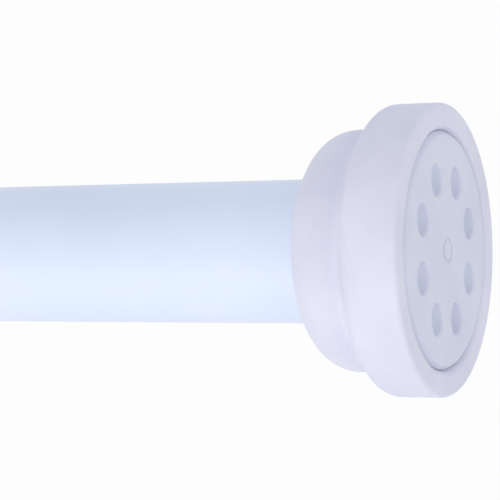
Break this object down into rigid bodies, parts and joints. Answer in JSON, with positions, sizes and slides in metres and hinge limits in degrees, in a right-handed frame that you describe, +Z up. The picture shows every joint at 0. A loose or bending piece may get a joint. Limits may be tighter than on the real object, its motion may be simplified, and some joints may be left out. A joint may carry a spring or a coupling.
{
  "type": "spring tension rod",
  "caption": "Telescoping round rod with a spring and twist lock inside and a stepped rubber foot at each end, made to be wedged between two walls.",
  "frame": {"origin": "Middle of the right foot's wall face.", "axes": "+X out of the right foot into the wall, along the rod; +Y to the back; +Z up. The rod lies on -X."},
  "size_m": [0.56, 0.0494, 0.0494],
  "materials": {
    "tube_paint": "smooth satin paint, pale blue-white",
    "foot_rubber": "soft matte rubber, pale lilac grey",
    "foot_plastic": "matte moulded plastic, pale lilac grey",
    "guide_plastic": "smooth moulded plastic",
    "lock_plastic": "tough moulded plastic",
    "drag_rubber": "black rubber",
    "steel": "zinc-plated steel",
    "spring_steel": "drawn spring wire"
  },
  "bodies": {
    "outer_half": {"outer_tube": "tube_paint", "outer_tube_collar": "guide_plastic", "right_foot_boot": "foot_rubber", "right_foot_plug": "foot_plastic"},
    "lock": {"lock_sleeve": "lock_plastic", "drag_ring": "drag_rubber"},
    "wedge": {"cone_nut": "lock_plastic"},
    "screw": {"spindle": "steel", "thread_end_stop": "steel", "plunger": "guide_plastic", "plunger_clip": "steel", "thrust_washer": "steel", "follower_washer": "steel"},
    "inner_half": {"inner_tube": "tube_paint", "inner_tube_bush": "guide_plastic", "spring_stop": "guide_plastic", "spring": "spring_steel", "spring_seat_washer": "steel", "left_foot_boot": "foot_rubber", "left_foot_plug": "foot_plastic"}
  },
  "joints": [
    {"name": "length_slide", "type": "slide", "parent": "outer_half", "child": "lock", "axis": [1, 0, 0], "range_m": [-0.14, 0.09]},
    {"name": "lock_twist", "type": "hinge", "parent": "lock", "child": "screw", "pos_m": [-0.2, 0, 0], "axis": [1, 0, 0], "range_deg": [0, 360]},
    {"name": "wedge_travel", "type": "slide", "parent": "lock", "child": "wedge", "axis": [-1, 0, 0], "range_m": [0, 0.0025]},
    {"name": "spring_slide", "type": "slide", "parent": "screw", "child": "inner_half", "axis": [1, 0, 0], "range_m": [0, 0.03], "stiffness_N_per_m": 2700, "springref_m": -0.01, "deforming": ["spring"]}
  ],
  "couplings": [
    {"joint": "lock_twist", "follows": "wedge_travel", "rad_per_m": 2513.3}
  ]
}
